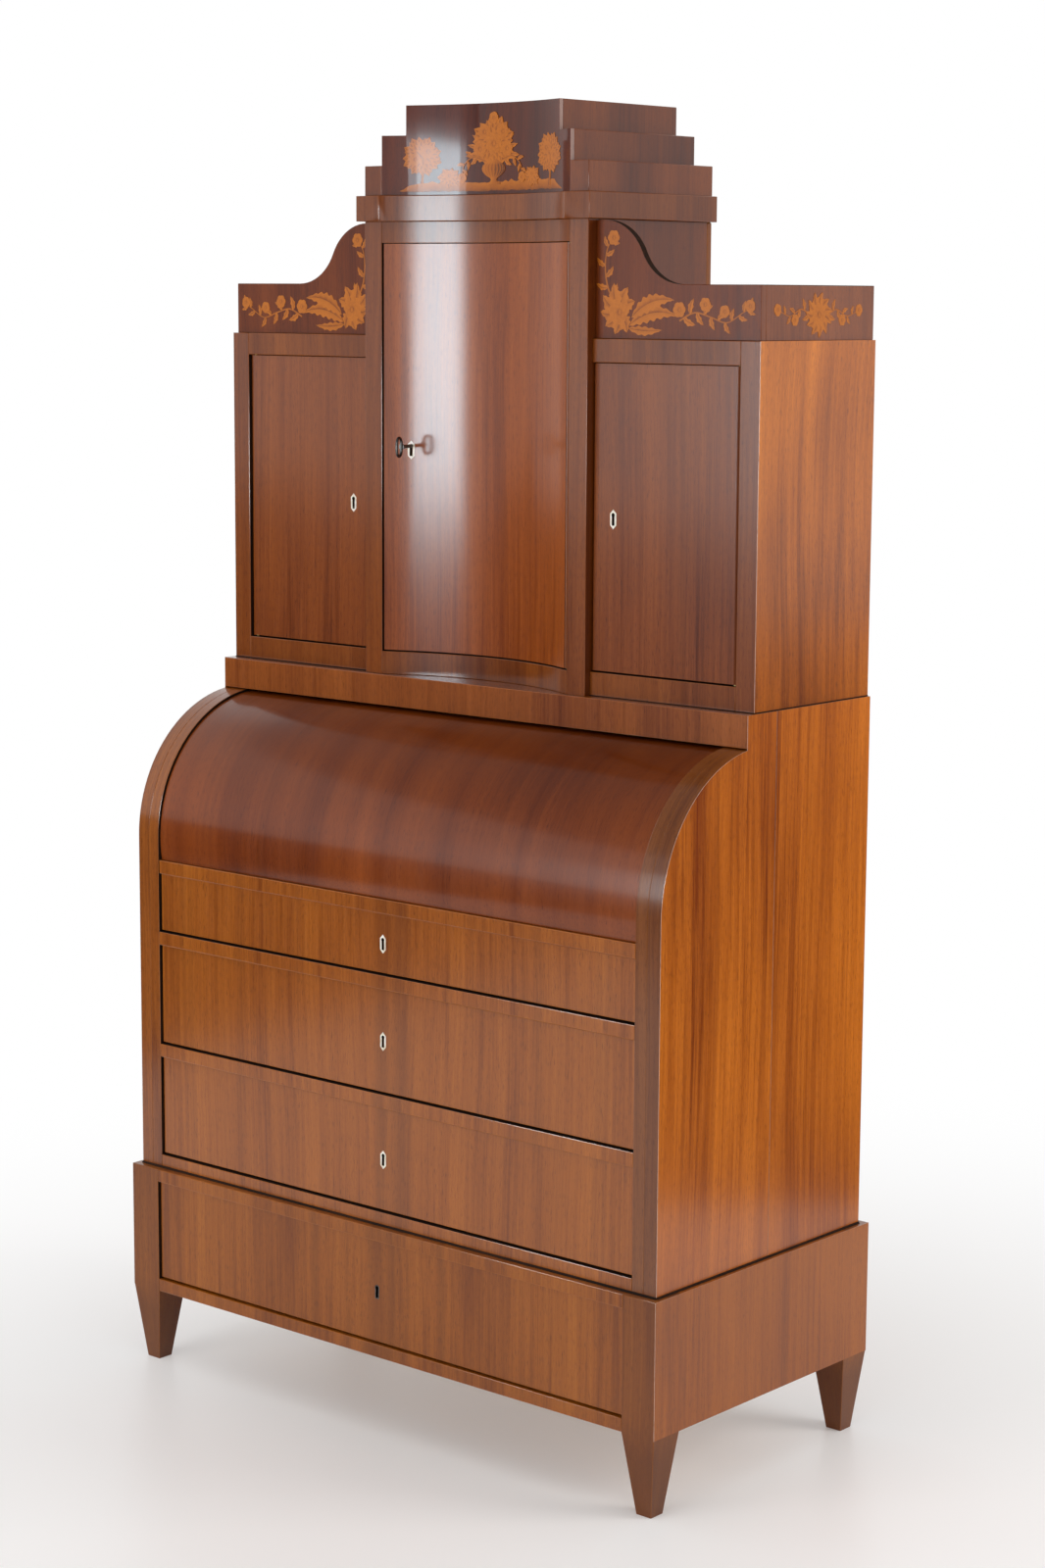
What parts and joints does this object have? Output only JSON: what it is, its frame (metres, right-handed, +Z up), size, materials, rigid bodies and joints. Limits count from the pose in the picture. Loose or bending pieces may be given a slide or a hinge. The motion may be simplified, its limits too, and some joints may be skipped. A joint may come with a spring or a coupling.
{
  "type": "cylinder desk",
  "caption": "Tall mahogany cylinder desk: drawers below, a roll-back cylinder over a writing slide, and a cabinet with a hollow tower door and stepped pediment.",
  "frame": {"origin": "middle of the base on the floor", "axes": "+Z up, the front faces -Y, +X to the right seen from the front"},
  "size_m": [1.12, 0.542, 2.0775],
  "materials": {
    "mahogany": "polished straight-grained mahogany veneer",
    "mahogany_side": "polished lighter mahogany veneer",
    "mahogany_dark": "polished dark mahogany veneer with light inlay",
    "drawer_wood": "plain planed softwood",
    "bone": "inlaid bone",
    "brass": "aged brass",
    "iron": "dark forged iron",
    "leather": "dark green writing leather"
  },
  "bodies": {
    "carcass": {"corner_posts": "mahogany", "base_rails": "mahogany", "front_facings": "mahogany", "drawer_rails": "mahogany", "desk_top": "mahogany", "wing_frames": "mahogany", "tower_frame": "mahogany", "cornice": "mahogany", "pediment_step_low": "mahogany", "pediment_step_middle": "mahogany", "pediment_step_high": "mahogany", "pigeonhole_case": "mahogany", "base_panels": "mahogany_side", "desk_side_left": "mahogany_side", "desk_side_right": "mahogany_side", "cabinet_sides": "mahogany_side", "pediment_panel": "mahogany_dark", "gallery": "mahogany_dark", "drawer_runners": "drawer_wood", "desk_back": "drawer_wood", "slide_bearers": "drawer_wood", "cabinet_boards": "drawer_wood", "cabinet_back": "drawer_wood", "cabinet_shelves": "drawer_wood", "door_pivots": "brass"},
    "cylinder": {"cylinder_shell": "mahogany", "cylinder_quadrants": "mahogany", "cylinder_cranks": "iron"},
    "slide": {"slide_panel": "mahogany", "slide_leather": "leather", "slide_edge": "mahogany", "slide_yokes": "iron"},
    "top_drawer": {"top_drawer_front": "mahogany", "top_drawer_box": "drawer_wood", "top_drawer_lock": "brass", "top_drawer_escutcheon": "bone"},
    "middle_drawer": {"middle_drawer_front": "mahogany", "middle_drawer_box": "drawer_wood", "middle_drawer_lock": "brass", "middle_drawer_escutcheon": "bone"},
    "low_drawer": {"low_drawer_front": "mahogany", "low_drawer_box": "drawer_wood", "low_drawer_lock": "brass", "low_drawer_escutcheon": "bone"},
    "base_drawer": {"base_drawer_front": "mahogany", "base_drawer_box": "drawer_wood", "base_drawer_lock": "brass"},
    "inner_drawer_left": {"inner_drawer_left": "mahogany"},
    "inner_drawer_right": {"inner_drawer_right": "mahogany"},
    "left_door": {"left_door": "mahogany", "left_door_escutcheon": "bone", "left_door_lock": "brass"},
    "right_door": {"right_door": "mahogany", "right_door_escutcheon": "bone", "right_door_lock": "brass"},
    "tower_door": {"tower_door": "mahogany", "tower_door_escutcheon": "bone", "tower_door_lock": "brass"},
    "tower_bolt": {"tower_door_bolt": "iron"},
    "key": {"key": "iron"}
  },
  "joints": [
    {"name": "slide_pull", "type": "slide", "parent": "carcass", "child": "slide", "axis": [0, -1, 0], "range_m": [0, 0.1867]},
    {"name": "cylinder_roll", "type": "hinge", "parent": "carcass", "child": "cylinder", "pos_m": [0, -0.0245, 0.895], "axis": [-1, 0, 0], "range_deg": [0, 85]},
    {"name": "top_drawer_pull", "type": "slide", "parent": "carcass", "child": "top_drawer", "axis": [0, -1, 0], "range_m": [0, 0.36]},
    {"name": "middle_drawer_pull", "type": "slide", "parent": "carcass", "child": "middle_drawer", "axis": [0, -1, 0], "range_m": [0, 0.36]},
    {"name": "low_drawer_pull", "type": "slide", "parent": "carcass", "child": "low_drawer", "axis": [0, -1, 0], "range_m": [0, 0.36]},
    {"name": "base_drawer_pull", "type": "slide", "parent": "carcass", "child": "base_drawer", "axis": [0, -1, 0], "range_m": [0, 0.38]},
    {"name": "inner_drawer_left_pull", "type": "slide", "parent": "carcass", "child": "inner_drawer_left", "axis": [0, -1, 0], "range_m": [0, 0.11]},
    {"name": "inner_drawer_right_pull", "type": "slide", "parent": "carcass", "child": "inner_drawer_right", "axis": [0, -1, 0], "range_m": [0, 0.11]},
    {"name": "left_door_swing", "type": "hinge", "parent": "carcass", "child": "left_door", "pos_m": [-0.502, -0.0245, 1.44875], "axis": [0, 0, -1], "range_deg": [0, 90]},
    {"name": "right_door_swing", "type": "hinge", "parent": "carcass", "child": "right_door", "pos_m": [0.502, -0.0245, 1.44875], "axis": [0, 0, 1], "range_deg": [0, 90]},
    {"name": "tower_door_swing", "type": "hinge", "parent": "carcass", "child": "tower_door", "pos_m": [0.1865, -0.0346, 1.53875], "axis": [0, 0, 1], "range_deg": [0, 100]},
    {"name": "key_turn", "type": "hinge", "parent": "tower_door", "child": "key", "pos_m": [-0.1495, -0.02615, 1.54475], "axis": [0.3576, -0.9339, 0], "range_deg": [0, 180]},
    {"name": "bolt_throw", "type": "slide", "parent": "tower_door", "child": "tower_bolt", "axis": [-0.9339, -0.3576, 0], "range_m": [0, 0.009]}
  ],
  "couplings": [
    {"joint": "cylinder_roll", "follows": "slide_pull", "rad_per_m": 7.944},
    {"joint": "bolt_throw", "follows": "key_turn", "m_per_rad": 0.002863}
  ]
}
